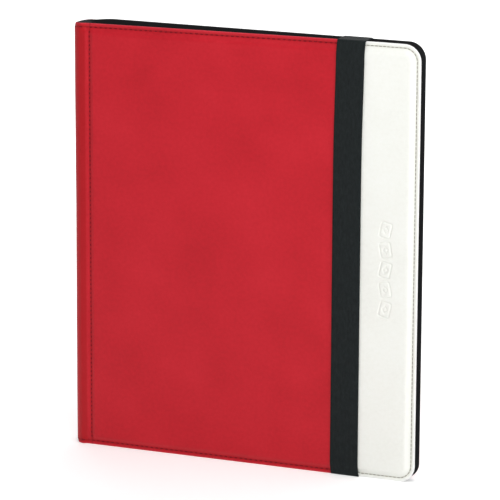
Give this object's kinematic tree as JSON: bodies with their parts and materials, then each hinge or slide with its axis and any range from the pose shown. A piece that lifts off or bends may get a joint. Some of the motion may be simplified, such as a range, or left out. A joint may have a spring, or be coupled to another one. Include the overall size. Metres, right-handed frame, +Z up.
{
  "type": "trading card binder",
  "caption": "Padded leatherette folio for trading cards, with a rounded spine, bound side-loading pocket pages and a wide elastic strap round the covers.",
  "frame": {"origin": "centre of the footprint on the surface that the binder stands on", "axes": "+Z up along the spine, +X from the spine to the fore edge, -Y out of the front cover"},
  "size_m": [0.282, 0.0226, 0.3354],
  "materials": {
    "red_leatherette": "satin, fine soft grain",
    "white_leatherette": "satin, fine grain",
    "black_lining": "matte woven-backed lining",
    "foam": "closed-cell foam",
    "board": "grey-brown binder's board",
    "red_thread": "polyester thread",
    "grey_thread": "polyester thread",
    "black_thread": "polyester thread",
    "binding_tape": "matte cloth tape round the page stubs",
    "elastic_web": "ribbed woven elastic",
    "pocket_page": "clear film pockets on a black core"
  },
  "bodies": {
    "spine": {"spine_leather": "red_leatherette", "spine_padding": "foam", "spine_board": "board", "spine_lining": "black_lining", "spine_thread": "red_thread", "binding_block": "binding_tape", "binding_thread": "black_thread", "front_hinge_leather": "red_leatherette", "front_hinge_lining": "black_lining", "back_hinge_leather": "red_leatherette", "back_hinge_lining": "black_lining"},
    "front_cover": {"front_leather": "red_leatherette", "front_panel": "white_leatherette", "front_padding": "foam", "front_board": "board", "front_lining": "black_lining", "front_edge_thread": "red_thread", "front_spine_thread": "red_thread", "front_panel_thread": "grey_thread", "front_join_thread": "red_thread"},
    "back_cover": {"back_leather": "red_leatherette", "back_padding": "foam", "back_board": "board", "back_lining": "black_lining", "back_edge_thread": "red_thread", "back_spine_thread": "red_thread", "strap_leg_top": "elastic_web", "strap_leg_bottom": "elastic_web"},
    "strap": {"elastic_strap": "elastic_web"},
    "page_01": {"page_01": "pocket_page"},
    "page_02": {"page_02": "pocket_page"},
    "page_03": {"page_03": "pocket_page"},
    "page_04": {"page_04": "pocket_page"},
    "page_05": {"page_05": "pocket_page"},
    "page_06": {"page_06": "pocket_page"},
    "page_07": {"page_07": "pocket_page"},
    "page_08": {"page_08": "pocket_page"},
    "page_09": {"page_09": "pocket_page"},
    "page_10": {"page_10": "pocket_page"},
    "page_11": {"page_11": "pocket_page"},
    "page_12": {"page_12": "pocket_page"},
    "page_13": {"page_13": "pocket_page"},
    "page_14": {"page_14": "pocket_page"},
    "page_15": {"page_15": "pocket_page"},
    "page_16": {"page_16": "pocket_page"},
    "page_17": {"page_17": "pocket_page"},
    "page_18": {"page_18": "pocket_page"},
    "page_19": {"page_19": "pocket_page"},
    "page_20": {"page_20": "pocket_page"}
  },
  "joints": [
    {"name": "front_hinge", "type": "hinge", "parent": "spine", "child": "front_cover", "pos_m": [-0.1287, -0.0087, 0.1675], "axis": [0, 0, -1], "range_deg": [0, 90], "deforming": ["front_hinge_leather", "front_hinge_lining"]},
    {"name": "back_hinge", "type": "hinge", "parent": "spine", "child": "back_cover", "pos_m": [-0.1287, 0.0087, 0.1675], "axis": [0, 0, 1], "range_deg": [0, 90.01], "deforming": ["back_hinge_leather", "back_hinge_lining"]},
    {"name": "strap_flip", "type": "hinge", "parent": "back_cover", "child": "strap", "pos_m": [0.08525, 0.00635, 0.1675], "axis": [0, 0, 1], "range_deg": [0, 180.01], "deforming": ["elastic_strap"]},
    {"name": "page_01_turn", "type": "hinge", "parent": "spine", "child": "page_01", "pos_m": [-0.1267, -0.00665, 0.1675], "axis": [0, 0, -1], "range_deg": [0, 84.61]},
    {"name": "page_02_turn", "type": "hinge", "parent": "spine", "child": "page_02", "pos_m": [-0.1264, -0.00595, 0.1675], "axis": [0, 0, -1], "range_deg": [0, 75.7]},
    {"name": "page_03_turn", "type": "hinge", "parent": "spine", "child": "page_03", "pos_m": [-0.12614, -0.00525, 0.1675], "axis": [0, 0, -1], "range_deg": [0, 66.8]},
    {"name": "page_04_turn", "type": "hinge", "parent": "spine", "child": "page_04", "pos_m": [-0.12591, -0.00455, 0.1675], "axis": [0, 0, -1], "range_deg": [0, 57.89]},
    {"name": "page_05_turn", "type": "hinge", "parent": "spine", "child": "page_05", "pos_m": [-0.12572, -0.00385, 0.1675], "axis": [0, 0, -1], "range_deg": [0, 48.99]},
    {"name": "page_06_turn", "type": "hinge", "parent": "spine", "child": "page_06", "pos_m": [-0.12557, -0.00315, 0.1675], "axis": [0, 0, -1], "range_deg": [0, 40.08]},
    {"name": "page_07_turn", "type": "hinge", "parent": "spine", "child": "page_07", "pos_m": [-0.12544, -0.00245, 0.1675], "axis": [0, 0, -1], "range_deg": [0, 31.18]},
    {"name": "page_08_turn", "type": "hinge", "parent": "spine", "child": "page_08", "pos_m": [-0.12535, -0.00175, 0.1675], "axis": [0, 0, -1], "range_deg": [0, 22.27]},
    {"name": "page_09_turn", "type": "hinge", "parent": "spine", "child": "page_09", "pos_m": [-0.12529, -0.00105, 0.1675], "axis": [0, 0, -1], "range_deg": [0, 13.37]},
    {"name": "page_10_turn", "type": "hinge", "parent": "spine", "child": "page_10", "pos_m": [-0.12526, -0.00035, 0.1675], "axis": [0, 0, -1], "range_deg": [0, 4.46]},
    {"name": "page_11_turn", "type": "hinge", "parent": "spine", "child": "page_11", "pos_m": [-0.12526, 0.00035, 0.1675], "axis": [0, 0, -1], "range_deg": [-4.46, 0]},
    {"name": "page_12_turn", "type": "hinge", "parent": "spine", "child": "page_12", "pos_m": [-0.12529, 0.00105, 0.1675], "axis": [0, 0, -1], "range_deg": [-13.37, 0]},
    {"name": "page_13_turn", "type": "hinge", "parent": "spine", "child": "page_13", "pos_m": [-0.12535, 0.00175, 0.1675], "axis": [0, 0, -1], "range_deg": [-22.27, 0]},
    {"name": "page_14_turn", "type": "hinge", "parent": "spine", "child": "page_14", "pos_m": [-0.12544, 0.00245, 0.1675], "axis": [0, 0, -1], "range_deg": [-31.18, 0]},
    {"name": "page_15_turn", "type": "hinge", "parent": "spine", "child": "page_15", "pos_m": [-0.12557, 0.00315, 0.1675], "axis": [0, 0, -1], "range_deg": [-40.08, 0]},
    {"name": "page_16_turn", "type": "hinge", "parent": "spine", "child": "page_16", "pos_m": [-0.12572, 0.00385, 0.1675], "axis": [0, 0, -1], "range_deg": [-48.99, 0]},
    {"name": "page_17_turn", "type": "hinge", "parent": "spine", "child": "page_17", "pos_m": [-0.12591, 0.00455, 0.1675], "axis": [0, 0, -1], "range_deg": [-57.89, 0]},
    {"name": "page_18_turn", "type": "hinge", "parent": "spine", "child": "page_18", "pos_m": [-0.12614, 0.00525, 0.1675], "axis": [0, 0, -1], "range_deg": [-66.8, 0]},
    {"name": "page_19_turn", "type": "hinge", "parent": "spine", "child": "page_19", "pos_m": [-0.1264, 0.00595, 0.1675], "axis": [0, 0, -1], "range_deg": [-75.7, 0]},
    {"name": "page_20_turn", "type": "hinge", "parent": "spine", "child": "page_20", "pos_m": [-0.1267, 0.00665, 0.1675], "axis": [0, 0, -1], "range_deg": [-84.61, 0]}
  ],
  "couplings": [
    {"joint": "back_hinge", "follows": "front_hinge", "ratio": 1},
    {"joint": "strap_flip", "follows": "front_hinge", "ratio": 2},
    {"joint": "page_01_turn", "follows": "front_hinge", "ratio": 0.94},
    {"joint": "page_02_turn", "follows": "front_hinge", "ratio": 0.84105},
    {"joint": "page_03_turn", "follows": "front_hinge", "ratio": 0.74211},
    {"joint": "page_04_turn", "follows": "front_hinge", "ratio": 0.64316},
    {"joint": "page_05_turn", "follows": "front_hinge", "ratio": 0.54421},
    {"joint": "page_06_turn", "follows": "front_hinge", "ratio": 0.44526},
    {"joint": "page_07_turn", "follows": "front_hinge", "ratio": 0.34632},
    {"joint": "page_08_turn", "follows": "front_hinge", "ratio": 0.24737},
    {"joint": "page_09_turn", "follows": "front_hinge", "ratio": 0.14842},
    {"joint": "page_10_turn", "follows": "front_hinge", "ratio": 0.049474},
    {"joint": "page_11_turn", "follows": "front_hinge", "ratio": -0.049474},
    {"joint": "page_12_turn", "follows": "front_hinge", "ratio": -0.14842},
    {"joint": "page_13_turn", "follows": "front_hinge", "ratio": -0.24737},
    {"joint": "page_14_turn", "follows": "front_hinge", "ratio": -0.34632},
    {"joint": "page_15_turn", "follows": "front_hinge", "ratio": -0.44526},
    {"joint": "page_16_turn", "follows": "front_hinge", "ratio": -0.54421},
    {"joint": "page_17_turn", "follows": "front_hinge", "ratio": -0.64316},
    {"joint": "page_18_turn", "follows": "front_hinge", "ratio": -0.74211},
    {"joint": "page_19_turn", "follows": "front_hinge", "ratio": -0.84105},
    {"joint": "page_20_turn", "follows": "front_hinge", "ratio": -0.94}
  ]
}
